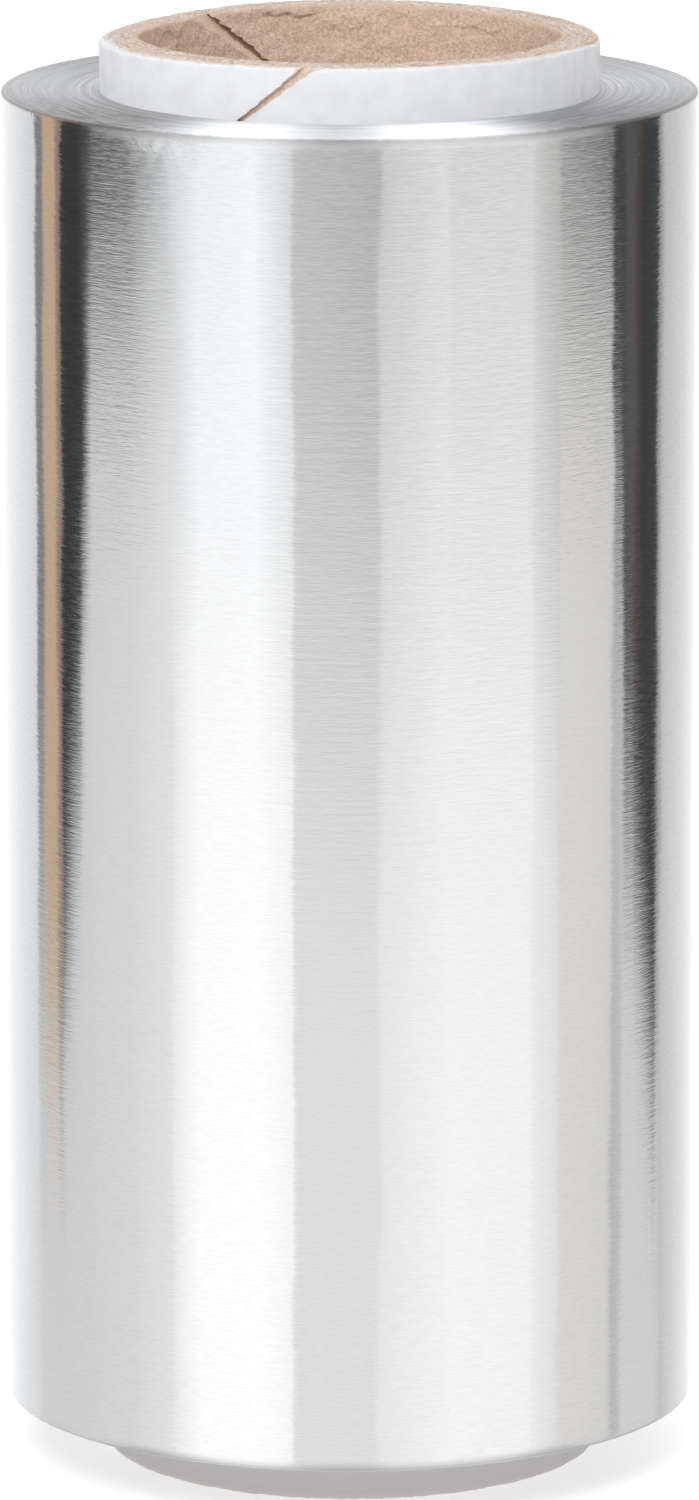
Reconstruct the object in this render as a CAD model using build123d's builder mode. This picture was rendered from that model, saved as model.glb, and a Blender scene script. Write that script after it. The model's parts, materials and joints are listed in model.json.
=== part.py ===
from build123d import *
import math
import os

# A long roll of thin aluminium foil wound on a spiral paper tube, standing on one end.
# Units are millimetres. The tube's axis is +Z, and its lower end stands on the XY plane.
# The front of the roll faces -Y. Angles run anticlockwise from +X, seen from above.

# Foil: one long web, wound tight.
foil_width = 120.0
foil_length = 100_000.0
foil_thickness = 0.015
foil_edge_round = 0.3

# Tube: its bore, its wall, and how far each end stands out of the winding.
core_bore_radius = 19.0
core_wall = 3.5
core_stub = 5.0
core_outer_edge_round = 0.6
core_inner_edge_round = 0.5

# Plies of the tube's wall. The board is the thick stack between the two liners.
outer_ply_thickness = 0.4
inner_ply_thickness = 0.5

# Each liner is a strip wound as a helix, and a narrow gap is left between its turns.
outer_seam_pitch = 103.0
outer_seam_gap = 0.6
outer_seam_top_angle = -99.3
inner_seam_pitch = 88.0
inner_seam_gap = 0.8
inner_seam_top_angle = 134.7
seam_run_out = 3.0
cut_clearance = 0.2

core_length = foil_width + 2 * core_stub
core_outer_radius = core_bore_radius + core_wall
outer_ply_inner_radius = core_outer_radius - outer_ply_thickness
inner_ply_outer_radius = core_bore_radius + inner_ply_thickness

# The foil's end face has the area of the web's edge: its length times its thickness.
foil_end_area = foil_length * foil_thickness
foil_outer_radius = math.sqrt(core_outer_radius**2 + foil_end_area / math.pi)


def tube_layer(inner_radius, outer_radius):
    """The tube's wall between two radii, with the wall's own rounded ends."""
    with BuildPart() as layer:
        with BuildSketch(Plane.XZ):
            with Locations((core_bore_radius, 0)):
                Rectangle(core_wall, core_length, align=(Align.MIN, Align.MIN))
            bore_corners = vertices().group_by(Axis.X)[0]
            outside_corners = vertices().group_by(Axis.X)[-1]
            fillet(outside_corners, core_outer_edge_round)
            fillet(bore_corners, core_inner_edge_round)
            with Locations((inner_radius, 0)):
                Rectangle(
                    outer_radius - inner_radius,
                    core_length,
                    align=(Align.MIN, Align.MIN),
                    mode=Mode.INTERSECT,
                )
        revolve(axis=Axis.Z)
    return layer.part


def seam_gap(inner_radius, outer_radius, pitch, width, top_angle):
    """The space between a liner's turns: a right-handed helix that meets the top at top_angle."""
    middle_radius = (inner_radius + outer_radius) / 2
    depth = outer_radius - inner_radius + 2 * cut_clearance
    start_angle = top_angle - 360 * (core_length + seam_run_out) / pitch
    start = Plane.XY.rotated((0, 0, start_angle)).offset(-seam_run_out)
    with BuildPart() as gap:
        with BuildLine(start) as middle_line:
            Helix(pitch, core_length + 2 * seam_run_out, middle_radius)
        helix = middle_line.line
        with BuildSketch(Plane(helix @ 0, x_dir=start.x_dir, z_dir=helix % 0)):
            Rectangle(depth, width)
        sweep(path=helix, is_frenet=True)
    return gap.part


# Foil winding: all the turns of the web.
with BuildPart() as foil_winding:
    with BuildSketch(Plane.XZ):
        with Locations((core_outer_radius, core_stub)):
            Rectangle(
                foil_outer_radius - core_outer_radius, foil_width, align=(Align.MIN, Align.MIN)
            )
        fillet(vertices().group_by(Axis.X)[-1], foil_edge_round)
    revolve(axis=Axis.Z)

# Board: the grey-brown plies that make up most of the wall.
with BuildPart() as core_board:
    add(tube_layer(inner_ply_outer_radius, outer_ply_inner_radius))

# Outer ply: the white liner that the foil is wound on.
with BuildPart() as core_outer_ply:
    add(tube_layer(outer_ply_inner_radius, core_outer_radius))
    add(
        seam_gap(
            outer_ply_inner_radius,
            core_outer_radius,
            outer_seam_pitch,
            outer_seam_gap,
            outer_seam_top_angle,
        ),
        mode=Mode.SUBTRACT,
    )

# Inner ply: the brown liner of the bore.
with BuildPart() as core_inner_ply:
    add(tube_layer(core_bore_radius, inner_ply_outer_radius))
    add(
        seam_gap(
            core_bore_radius,
            inner_ply_outer_radius,
            inner_seam_pitch,
            inner_seam_gap,
            inner_seam_top_angle,
        ),
        mode=Mode.SUBTRACT,
    )

foil_winding.part.label = "foil_winding"
core_board.part.label = "core_board"
core_outer_ply.part.label = "core_outer_ply"
core_inner_ply.part.label = "core_inner_ply"

os.makedirs("parts", exist_ok=True)
export_step(foil_winding.part, "parts/foil_winding.step")
export_step(core_board.part, "parts/core_board.step")
export_step(core_outer_ply.part, "parts/core_outer_ply.step")
export_step(core_inner_ply.part, "parts/core_inner_ply.step")
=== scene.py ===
"""Looks of a long aluminium foil roll on a spiral paper tube, standing on the tube's lower end."""
import json
import logging
import math
from dataclasses import dataclass
from enum import Enum
from typing import Any

import bpy
import numpy as np
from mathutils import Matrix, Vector


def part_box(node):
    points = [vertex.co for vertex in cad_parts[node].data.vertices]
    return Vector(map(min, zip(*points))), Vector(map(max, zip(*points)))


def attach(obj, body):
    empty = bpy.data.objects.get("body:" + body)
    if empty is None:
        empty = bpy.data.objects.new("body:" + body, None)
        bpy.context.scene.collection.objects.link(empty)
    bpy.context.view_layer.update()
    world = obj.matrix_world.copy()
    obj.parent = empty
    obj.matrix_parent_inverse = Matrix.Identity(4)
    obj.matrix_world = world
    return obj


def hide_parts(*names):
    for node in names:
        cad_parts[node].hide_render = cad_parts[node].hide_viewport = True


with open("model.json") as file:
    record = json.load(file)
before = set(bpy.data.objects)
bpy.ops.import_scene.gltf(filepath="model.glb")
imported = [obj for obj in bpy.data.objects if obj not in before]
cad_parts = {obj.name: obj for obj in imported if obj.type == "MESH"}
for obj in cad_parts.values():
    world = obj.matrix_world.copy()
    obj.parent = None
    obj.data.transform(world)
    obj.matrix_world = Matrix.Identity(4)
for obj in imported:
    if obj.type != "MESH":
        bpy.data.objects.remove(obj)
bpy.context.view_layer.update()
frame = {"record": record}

MM = 0.001
TURN = 2 * math.pi
WHITE = (1.0, 1.0, 1.0, 1.0)

Colour = tuple[float, float, float]
Edges = tuple[float, float, float, float]
Array = np.ndarray
log = logging.getLogger("foil_roll")


class Node(Enum):
    """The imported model's nodes, by name."""

    FOIL = "foil_winding"
    WHITE = "core_outer_ply"
    BOARD = "core_board"
    KRAFT = "core_inner_ply"


class Slot(Enum):
    """The record's material slots."""

    FOIL = "foil"
    WHITE = "white_paper"
    BOARD = "grey_board"
    KRAFT = "kraft_paper"


# ---------------------------------------------------------------- shader bench


class Wire:
    """A shader socket that takes part in arithmetic: an expression adds its Math nodes."""

    def __init__(self, bench: "Bench", socket: bpy.types.NodeSocket) -> None:
        """Wraps one output socket of a bench's material."""
        self.bench = bench
        self.socket = socket

    def _math(self, operation: str, first: Any, second: Any) -> "Wire":
        """The result of one Math node on two numbers or wires."""
        node = self.bench.node("ShaderNodeMath", {"operation": operation}, {0: first, 1: second})
        return Wire(self.bench, node.outputs[0])

    def __add__(self, other: Any) -> "Wire":
        """self + other."""
        return self._math("ADD", self, other)

    __radd__ = __add__

    def __sub__(self, other: Any) -> "Wire":
        """self - other."""
        return self._math("SUBTRACT", self, other)

    def __rsub__(self, other: Any) -> "Wire":
        """other - self."""
        return self._math("SUBTRACT", other, self)

    def __mul__(self, other: Any) -> "Wire":
        """self * other."""
        return self._math("MULTIPLY", self, other)

    __rmul__ = __mul__

    def __truediv__(self, other: Any) -> "Wire":
        """self / other."""
        return self._math("DIVIDE", self, other)

    def __rtruediv__(self, other: Any) -> "Wire":
        """other / self."""
        return self._math("DIVIDE", other, self)


class Bench:
    """One material's node tree, with a Principled shader ready to be fed."""

    def __init__(self, name: str) -> None:
        """Starts an empty material.

        Args:
            name: the material's name.
        """
        self.material = bpy.data.materials.new(name)
        self.material.use_nodes = True
        self.tree = self.material.node_tree
        self.tree.nodes.clear()
        self.shader = self.node("ShaderNodeBsdfPrincipled", {}, {})
        self.node("ShaderNodeOutputMaterial", {}, {"Surface": self.shader.outputs[0]})

    def node(self, kind: str, settings: dict[str, Any], inputs: dict[Any, Any]) -> bpy.types.Node:
        """Adds a node.

        Args:
            kind: the node's type.
            settings: its own settings, such as a Math node's operation.
            inputs: a value, wire or socket for each input socket, by name or number.

        Returns:
            The node.
        """
        made = self.tree.nodes.new(kind)
        for key, value in settings.items():
            setattr(made, key, value)
        for key, value in inputs.items():
            if isinstance(value, Wire):
                self.tree.links.new(value.socket, made.inputs[key])
            elif isinstance(value, bpy.types.NodeSocket):
                self.tree.links.new(value, made.inputs[key])
            else:
                made.inputs[key].default_value = value
        return made

    def feed(self, **inputs: Any) -> None:
        """Sets or links the Principled shader's sockets; underscores stand for spaces."""
        for key, value in inputs.items():
            socket = self.shader.inputs[key.replace("_", " ")]
            if isinstance(value, Wire):
                self.tree.links.new(value.socket, socket)
            else:
                socket.default_value = value

    def glow(self, colour: Any, strength: float) -> bpy.types.Material:
        """Feeds a black surface that only gives off light, and returns its material."""
        self.feed(
            Base_Color=(0.0, 0.0, 0.0, 1.0),
            Specular_IOR_Level=0.0,
            Roughness=1.0,
            Emission_Color=colour,
            Emission_Strength=strength,
        )
        return self.material

    def place(self) -> Wire:
        """The surface point in the object's own frame, in metres."""
        return Wire(self, self.node("ShaderNodeTexCoord", {}, {}).outputs["Object"])

    def attribute(self, name: str) -> Wire:
        """A number that the mesh carries at each vertex."""
        node = self.node("ShaderNodeAttribute", {"attribute_name": name}, {})
        return Wire(self, node.outputs["Fac"])

    def split(self, vector: Wire) -> tuple[Wire, Wire, Wire]:
        """A vector's three numbers."""
        node = self.node("ShaderNodeSeparateXYZ", {}, {0: vector})
        return Wire(self, node.outputs[0]), Wire(self, node.outputs[1]), Wire(self, node.outputs[2])

    def join(self, x: Any, y: Any, z: Any) -> Wire:
        """A vector from three numbers."""
        return Wire(self, self.node("ShaderNodeCombineXYZ", {}, {0: x, 1: y, 2: z}).outputs[0])

    def axes(self) -> tuple[Wire, Wire, Wire]:
        """The surface point's distance to the right, to the back and up, in metres."""
        return self.split(self.place())

    def from_axis(self) -> Wire:
        """The surface point's distance from the roll's axis."""
        x, y, _ = self.axes()
        node = self.node("ShaderNodeVectorMath", {"operation": "LENGTH"}, {0: self.join(x, y, 0.0)})
        return Wire(self, node.outputs["Value"])

    def noise(self, vector: Wire, scale: float, detail: float, rough: float) -> Wire:
        """Smooth noise from 0 to 1 with a mean of about a half.

        Args:
            vector: where to read it.
            scale: cells per unit of the vector.
            detail: number of finer layers.
            rough: how strong the finer layers are.

        Returns:
            The noise.
        """
        inputs = {"Vector": vector, "Scale": scale, "Detail": detail, "Roughness": rough}
        return Wire(self, self.node("ShaderNodeTexNoise", {}, inputs).outputs[0])

    def cells(self, vector: Wire, scale: float) -> Wire:
        """The distance to the nearest of a scatter of seeds, one to a cell, in cells."""
        node = self.node("ShaderNodeTexVoronoi", {}, {"Vector": vector, "Scale": scale})
        return Wire(self, node.outputs["Distance"])

    def ease(self, value: Wire, low: float, high: float, start: float = 0.0, end: float = 1.0) -> Wire:
        """Carries low..high smoothly onto start..end and holds it there outside.

        Args:
            value: the number to carry.
            low: where the rise starts.
            high: where it ends.
            start: the result at low and below.
            end: the result at high and above.

        Returns:
            The eased number.
        """
        inputs = {"Value": value, 1: low, 2: high, 3: start, 4: end}
        settings = {"interpolation_type": "SMOOTHSTEP"}
        return Wire(self, self.node("ShaderNodeMapRange", settings, inputs).outputs[0])

    def between(self, value: Wire, edges: Edges) -> Wire:
        """Rises smoothly from 0 to 1 over the first two edges, and falls back over the last two."""
        start, full, fading, stop = edges
        return self.ease(value, start, full) * self.ease(value, stop, fading)

    def mix(self, factor: Any, first: Any, second: Any) -> Wire:
        """Blends two colours: first at factor 0, second at factor 1."""
        colours = [c if isinstance(c, Wire) else (*c, 1.0) for c in (first, second)]
        inputs = {0: factor, 6: colours[0], 7: colours[1]}
        return Wire(self, self.node("ShaderNodeMix", {"data_type": "RGBA"}, inputs).outputs[2])

    def bump(self, height: Wire, depth: float) -> Wire:
        """The normal of a surface raised by height times depth metres."""
        inputs = {"Height": height, "Distance": depth, "Strength": 1.0}
        return Wire(self, self.node("ShaderNodeBump", {}, inputs).outputs[0])


# ---------------------------------------------------------------- finishes


@dataclass(frozen=True)
class RolledFoil:
    """The web's bright face: rolling lines run round the winding and smear its gloss up and down.

    The scuffed one is for the band under a rim, where the edge has been knocked and brushed.
    """

    low_rim: float
    high_rim: float
    name: str = "rolled_foil"
    scuffed: bool = False
    tint: Colour = (0.93, 0.935, 0.94)
    shade: Colour = (0.89, 0.89, 0.895)
    roughness: float = 0.09
    line_length: float = 1.2 * MM
    line_height: float = 0.11 * MM
    line_depth: float = 0.0085 * MM
    stroke_width: float = 0.16 * MM
    stroke_length: float = 2.2 * MM
    stroke_spread: float = 4.0 * MM
    stroke_slant: float = 0.9
    stroke_height: float = 7.0
    stroke_side: Edges = (-21.0 * MM, -17.0 * MM, -13.5 * MM, -10.5 * MM)
    dent_scale: float = 620.0
    dent_height: float = 3.0
    dent_reach: float = 1.1 * MM
    band_reach: float = 1.3 * MM
    rim_reach: float = 0.42 * MM

    def lines(self, bench: Bench) -> tuple[Wire, Wire]:
        """The rolling lines: their height for bump, and where the face is drawn smooth."""
        x, y, z = bench.axes()
        lines = bench.join(x / self.line_length, y / self.line_length, z / self.line_height)
        fine = bench.noise(lines, 1.0, 1.0, 0.5)
        broad = bench.noise(lines, 0.33, 0.0, 0.5)
        return fine + broad * 0.8, bench.ease(fine, 0.36, 0.62)

    def scuffs(self, bench: Bench) -> Wire:
        """Slanting strokes under one side of the upper rim, and small dents just under both rims."""
        x, y, z = bench.axes()
        across = (x + z * self.stroke_slant) / self.stroke_width
        down = (z - x * self.stroke_slant) / self.stroke_length
        strokes = bench.noise(bench.join(across, down, y / self.stroke_spread), 1.0, 2.0, 0.6)
        near = bench.ease(z, self.high_rim - 3.6 * MM, self.high_rim - 0.4 * MM)
        front = bench.ease(y, 0.0, -1.0 * MM)
        feathers = (strokes - 0.5) * bench.between(x, self.stroke_side) * near * front
        distance = bench.cells(bench.place(), self.dent_scale)
        dents = bench.ease(distance, 0.05, 0.14, -self.dent_height, 0.0)
        return feathers * self.stroke_height + dents * self.by_rim(bench, self.dent_reach)

    def by_rim(self, bench: Bench, reach: float) -> Wire:
        """1 at either rim, 0 farther away than reach."""
        _, _, z = bench.axes()
        upper = bench.ease(z, self.high_rim - reach, self.high_rim - 0.2 * reach)
        return upper + bench.ease(z, self.low_rim + reach, self.low_rim + 0.2 * reach)

    def material(self) -> bpy.types.Material:
        """Makes the material."""
        bench = Bench(self.name)
        height, drawn = self.lines(bench)
        roughness = self.roughness + (drawn - 0.5) * 0.05
        if self.scuffed:
            # The band under a rim is rubbed dull at the front, and the rim itself all the way round.
            height = height + self.scuffs(bench)
            _, y, _ = bench.axes()
            front = bench.ease(y, -20.5 * MM, -26.0 * MM)
            roughness = roughness + self.by_rim(bench, self.band_reach) * (front * 0.30 + 0.05)
            roughness = roughness + self.by_rim(bench, self.rim_reach) * (0.34 - front * 0.20)
        bench.feed(
            Base_Color=bench.mix(drawn, self.shade, self.tint),
            Metallic=1.0,
            Roughness=roughness,
            Anisotropic=1.0,
            Anisotropic_Rotation=0.25,
            Normal=bench.bump(height, self.line_depth),
        )
        return bench.material


@dataclass(frozen=True)
class WoundEdges:
    """The winding's end: hundreds of foil edges, seen as fine light and dark rings.

    A drift is how fast a ring's shade changes as it runs round.
    """

    light: Colour = (0.95, 0.96, 0.98)
    dark: Colour = (0.62, 0.63, 0.66)
    roughness: float = 0.48
    ring_width: float = 0.13 * MM
    ring_depth: float = 0.02 * MM
    long_drift: float = 22.0
    short_drift: float = 70.0
    speck_scale: float = 900.0
    calm_radius: float = 27.0 * MM
    calm_contrast: float = 0.45
    # Painted shade: the dark of the arcs on the end away from the tube, strongest at the two front sides.
    painted_arc_shade: Colour = (0.26, 0.265, 0.28)
    arc_shade_radii: tuple[float, float] = (23.5 * MM, 27.0 * MM)
    arc_width: float = 0.20 * MM
    arc_length: float = 3.2 * MM
    left_arcs: Edges = (-30.5 * MM, -24.0 * MM, -18.0 * MM, -13.0 * MM)
    right_arcs: Edges = (15.5 * MM, 20.0 * MM, 23.0 * MM, 29.0 * MM)

    def strokes(self, bench: Bench, x: Wire, y: Wire, radius: Wire) -> Wire:
        """Short arcs of painted shade on a few turns' edges, mostly at two places at the front.

        Args:
            bench: the material to add the nodes to.
            x: how far the point is to the right.
            y: how far it is to the back.
            radius: how far it is from the axis.

        Returns:
            How much painted shade the point gets, from 0 to 1.
        """
        arcs = bench.join(radius / self.arc_width, x / self.arc_length, y / self.arc_length)
        strokes = bench.ease(bench.noise(arcs, 1.0, 3.0, 0.65), 0.46, 0.64)
        left, right = bench.between(x, self.left_arcs), bench.between(x, self.right_arcs)
        front = bench.ease(y, -2.0 * MM, -16.0 * MM)
        return strokes * (0.15 + (left * 0.58 + right * 0.45) * front)

    def material(self) -> bpy.types.Material:
        """Makes the material."""
        bench = Bench("wound_foil_edges")
        x, y, _ = bench.axes()
        radius = bench.from_axis()
        ring = radius / self.ring_width
        rings = bench.join(ring, x * self.long_drift, y * self.long_drift)
        groups = bench.noise(rings, 0.14, 1.0, 0.5)
        coarse = bench.noise(rings, 0.42, 2.0, 0.6)
        broken = bench.join(ring, x * self.short_drift, y * self.short_drift)
        fine = bench.noise(broken, 1.0, 2.0, 0.7)
        calm = self.calm_radius
        contrast = bench.ease(radius, calm, calm - 3.0 * MM, self.calm_contrast, 1.0)
        shade = bench.ease(groups * 0.10 + coarse * 0.40 + fine * 0.50, 0.38, 0.60)
        shade = 0.62 + (shade - 0.62) * contrast
        specks = bench.ease(bench.cells(bench.place(), self.speck_scale), 0.10, 0.06) * 0.7
        colour = bench.mix(bench.ease(shade + specks, 0.0, 1.0), self.dark, self.light)
        # Painted shade: darker arcs on the end away from the tube, strongest at the two front sides.
        painted_arc_shade = self.strokes(bench, x, y, radius) * bench.ease(radius, *self.arc_shade_radii)
        bench.feed(
            Base_Color=bench.mix(painted_arc_shade, colour, self.painted_arc_shade),
            Metallic=1.0,
            Roughness=self.roughness + (fine - 0.5) * 0.15,
            Anisotropic=0.95,
            Anisotropic_Rotation=0.25,
            Normal=bench.bump(fine + coarse * 1.5, self.ring_depth),
        )
        return bench.material


@dataclass(frozen=True)
class WhiteLiner:
    """Smooth white paper, faintly mottled, scuffed where it has been handled, with painted shade at its
    foot.
    """

    clean: Colour = (0.73, 0.735, 0.76)
    mottle: Colour = (0.68, 0.683, 0.70)
    scuff: Colour = (0.60, 0.55, 0.57)
    worn: Colour = (0.60, 0.51, 0.46)
    # Painted shade: the grey that the foot below the winding is darkened to, for the winding's shadow.
    painted_foot_shade: Colour = (0.64, 0.61, 0.61)
    foot_shade_height: float = 5.2 * MM
    cloud_scale: float = 450.0
    fibre_scale: float = 6000.0
    smear_scale: float = 900.0

    def material(self) -> bpy.types.Material:
        """Makes the material."""
        bench = Bench("white_liner")
        place = bench.place()
        x, y, z = bench.split(place)
        clouds = bench.noise(place, self.cloud_scale, 4.0, 0.6)
        fibres = bench.noise(bench.join(x * 0.35, y * 0.35, z), self.fibre_scale, 3.0, 0.6)
        smears = bench.noise(bench.join(x, y, z * 0.25), self.smear_scale, 3.0, 0.6)
        scuffed = bench.ease(smears, 0.52, 0.66) * bench.ease(x, 18.5 * MM, 20.6 * MM)
        paper = bench.mix(bench.ease(clouds, 0.35, 0.7), self.clean, self.mottle)
        paper = bench.mix(scuffed * 0.6, paper, self.scuff)
        # Painted shade: below the winding's lower end the paper is darkened towards grey, for the shadow of
        # the winding's overhang.
        low = bench.ease(z + (clouds - 0.5) * 0.004, self.foot_shade_height, 0.4 * self.foot_shade_height)
        paper = bench.mix(low * 0.8, paper, self.painted_foot_shade)
        worn = bench.attribute("wear_and_shade") + bench.attribute("end")
        frayed = bench.ease(worn + (fibres - 0.5) * 0.9, 0.55, 0.95)
        bench.feed(
            Base_Color=bench.mix(frayed, paper, self.worn),
            Roughness=0.68 + (clouds - 0.5) * 0.2,
            Specular_IOR_Level=0.10,
            Normal=bench.bump(fibres + clouds * 2.0, 0.012 * MM),
        )
        return bench.material


@dataclass(frozen=True)
class KraftPaper:
    """Recycled brown paper: mottled, fibrous, with stray pale and dark fibres and specks.

    A paper with a back colour turns to it inwards of the back radius, and gets a painted shadow there
    where the edge value that its mesh carries is below 1: close under a liner's edge.
    """

    name: str
    base: Colour = (0.70, 0.535, 0.43)
    light: Colour = (0.78, 0.63, 0.53)
    dark: Colour = (0.56, 0.405, 0.31)
    speck: Colour = (0.20, 0.18, 0.20)
    torn: Colour = (0.76, 0.62, 0.53)
    cut: Colour = (0.50, 0.37, 0.29)
    back: Colour | None = None
    back_radius: float = 20.8 * MM
    # Painted shade: the colour of the shadow close under a liner's edge.
    painted_gap_shade: Colour = (0.42, 0.275, 0.195)
    cloud_scale: float = 260.0
    grain_scale: float = 3300.0
    fibre_scale: float = 4200.0
    strand_scale: float = 2600.0
    speck_scale: float = 400.0
    tear_scale: float = 2400.0
    jag_scale: float = 1500.0

    def colour(self, bench: Bench) -> tuple[Wire, Wire]:
        """The paper's colour and its height.

        Args:
            bench: the material to add the nodes to.

        Returns:
            The colour, and a height for bump.
        """
        place = bench.place()
        x, y, z = bench.split(place)
        clouds = bench.noise(place, self.cloud_scale, 4.0, 0.6)
        grain = bench.noise(place, self.grain_scale, 3.0, 0.75)
        fibres = bench.noise(bench.join(x * 0.4, y * 0.4, z), self.fibre_scale, 3.0, 0.7)
        paper = bench.mix(bench.ease(grain, 0.38, 0.62), self.dark, self.light)
        paper = bench.mix(bench.ease(clouds, 0.3, 0.7) * 0.4, paper, self.base)
        distance = bench.cells(place, self.speck_scale)
        specks = bench.ease(distance + (fibres - 0.5) * 0.08, 0.035, 0.07, 1.0, 0.0)
        strands = bench.noise(bench.join(x * 0.3, y * 0.3, z), self.strand_scale, 2.0, 0.6)
        paper = bench.mix(bench.ease(strands, 0.60, 0.72) * 0.55, paper, self.torn)
        paper = bench.mix(bench.ease(strands, 0.36, 0.26) * 0.5, paper, self.dark)
        return bench.mix(specks * 0.8, paper, self.speck), grain + fibres * 0.8 + clouds * 1.5

    def material(self) -> bpy.types.Material:
        """Makes the material."""
        bench = Bench(self.name)
        colour, height = self.colour(bench)
        grain = bench.noise(bench.place(), self.tear_scale, 3.0, 0.7)
        if self.back is not None:
            outside, inside = self.back_radius + 0.3 * MM, self.back_radius - 0.3 * MM
            behind = bench.ease(bench.from_axis(), outside, inside)
            colour = bench.mix(behind * (0.45 + grain * 0.8), colour, self.back)
            # Painted shade: close under the liner's edge the bared board is darkened, with a jagged border,
            # for the shadow in the opening.
            jagged = bench.noise(bench.place(), self.jag_scale, 2.0, 0.6)
            under = bench.ease(bench.attribute("wear_and_shade") + (jagged - 0.5) * 1.6, 1.15, 0.75)
            colour = bench.mix(under * behind * 0.92, colour, self.painted_gap_shade)
        else:
            frayed = bench.ease(bench.attribute("wear_and_shade") + (grain - 0.5) * 0.9, 0.35, 0.9)
            colour = bench.mix(frayed * 0.6, colour, self.torn)
        cut = bench.ease(bench.attribute("end") + (grain - 0.5) * 0.5, 0.25, 0.8)
        bench.feed(
            Base_Color=bench.mix(cut * 0.7, colour, self.cut),
            Roughness=0.9,
            Specular_IOR_Level=0.2,
            Normal=bench.bump(height, 0.08 * MM),
        )
        return bench.material


@dataclass(frozen=True)
class BoardEnd:
    """The tube wall's cut end: rings of grey-pink plies with pale torn fibres.

    On one side, the liner's white paper is dragged over the end's outer edge. A drift is how fast
    the shade of a ply or of a strand changes as it runs round.
    """

    paper: KraftPaper = KraftPaper("board_end", (0.59, 0.475, 0.40), (0.68, 0.57, 0.49), (0.44, 0.33, 0.27))
    pale: Colour = (0.76, 0.69, 0.63)
    line: Colour = (0.38, 0.28, 0.23)
    liner: Colour = (0.72, 0.715, 0.73)
    liner_radius: float = 21.5 * MM
    liner_side: float = -20.3 * MM
    ply: float = 0.45 * MM
    ply_drift: float = 130.0
    strand: float = 0.14 * MM
    strand_drift: float = 420.0
    tuft_scale: float = 1300.0
    drag_fray: float = 2.0 * MM

    def material(self) -> bpy.types.Material:
        """Makes the material."""
        bench = Bench(self.paper.name)
        colour, height = self.paper.colour(bench)
        x, y, _ = bench.axes()
        radius = bench.from_axis()
        plies = bench.join(radius / self.ply, x * self.ply_drift, y * self.ply_drift)
        rings = bench.noise(plies, 1.0, 3.0, 0.7)
        threads = bench.join(radius / self.strand, x * self.strand_drift, y * self.strand_drift)
        strands = bench.noise(threads, 1.0, 3.0, 0.7)
        tufts = bench.noise(bench.place(), self.tuft_scale, 4.0, 0.7)
        colour = bench.mix(bench.ease(rings, 0.44, 0.34) * 0.75, colour, self.line)
        pale = bench.ease(strands * 0.6 + tufts * 0.4, 0.50, 0.62)
        colour = bench.mix(pale, colour, self.pale)
        fray = (tufts - 0.5) * self.drag_fray
        outer = bench.ease(radius + fray, self.liner_radius, self.liner_radius + 0.4 * MM)
        beside = bench.ease(x + fray, self.liner_side, self.liner_side - 1.0 * MM)
        colour = bench.mix(outer * beside * 0.9, colour, self.liner)
        bench.feed(
            Base_Color=colour,
            Roughness=0.95,
            Specular_IOR_Level=0.15,
            Normal=bench.bump(height + rings * 2.0 + strands * 2.0 + tufts, 0.08 * MM),
        )
        return bench.material


# ---------------------------------------------------------------- surfaces


@dataclass(frozen=True)
class WaveField:
    """Seeded uneven field on a cylinder.

    value = sum of cos(k angle + m height + phase), with a whole number k of waves per turn, so it
    closes on itself, scaled to a standard deviation of about 1.
    """

    seed: int
    around: tuple[float, float]
    along: tuple[float, float]
    waves: int = 40

    def at(self, angle: Array, height: Array) -> Array:
        """Works the field out.

        Args:
            angle: radians round the axis.
            height: metres, the same shape as angle.

        Returns:
            The field's value at each point.
        """
        rng = np.random.default_rng(self.seed)
        turns = np.rint(np.exp(rng.uniform(*np.log(self.around), self.waves)))
        rises = TURN * np.exp(rng.uniform(*np.log(self.along), self.waves))
        rises *= rng.choice([-1.0, 1.0], self.waves)
        phases = rng.uniform(0.0, TURN, self.waves)
        waves = np.outer(turns, angle.ravel()) + np.outer(rises, height.ravel())
        total = np.cos(waves + phases[:, None]).sum(axis=0)
        return total.reshape(angle.shape) * math.sqrt(2.0 / self.waves)


def smooth_step(value: Array, low: float, high: float) -> Array:
    """0 below low, 1 above high, and 3t^2 - 2t^3 between them."""
    share = np.clip((value - low) / (high - low), 0.0, 1.0)
    return share * share * (3.0 - 2.0 * share)


def hump(value: Array, middle: float, width: float) -> Array:
    """A bell of height 1: exp(-((value - middle) / width)^2)."""
    return np.exp(-(((value - middle) / width) ** 2))


def angle_from(angle: Array, middle: float) -> Array:
    """How far an angle is from a middle one, from -half a turn to half a turn."""
    return (angle - middle + math.pi) % TURN - math.pi


def three_part(low: float, high: float, reach: float, counts: tuple[int, int, int]) -> Array:
    """Heights from low to high: evenly spaced within reach of each end, and between the two."""
    first = np.linspace(low, low + reach, counts[0], endpoint=False)
    middle = np.linspace(low + reach, high - reach, counts[1], endpoint=False)
    return np.concatenate([first, middle, np.linspace(high - reach, high, counts[2])])


def crowded(low: float, high: float, count: int, crowd: float) -> Array:
    """Heights from low to high that crowd towards both ends.

    With t even from 0 to 1, height = low + (high - low) (t - crowd sin(turn t) / turn).
    """
    even = np.linspace(0.0, 1.0, count)
    return low + (high - low) * (even - crowd * np.sin(TURN * even) / TURN)


def lay_mesh(name: str, corners: Array, quads: Array) -> bpy.types.Mesh:
    """Makes a mesh from an array of points and an array of four-cornered faces."""
    mesh = bpy.data.meshes.new(name)
    mesh.vertices.add(len(corners))
    mesh.vertices.foreach_set("co", corners.astype(np.float32).ravel())
    mesh.loops.add(quads.size)
    mesh.loops.foreach_set("vertex_index", quads.astype(np.int32).ravel())
    mesh.polygons.add(len(quads))
    mesh.polygons.foreach_set("loop_start", np.arange(0, quads.size, 4, dtype=np.int32))
    mesh.update(calc_edges=True)
    return mesh


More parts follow.
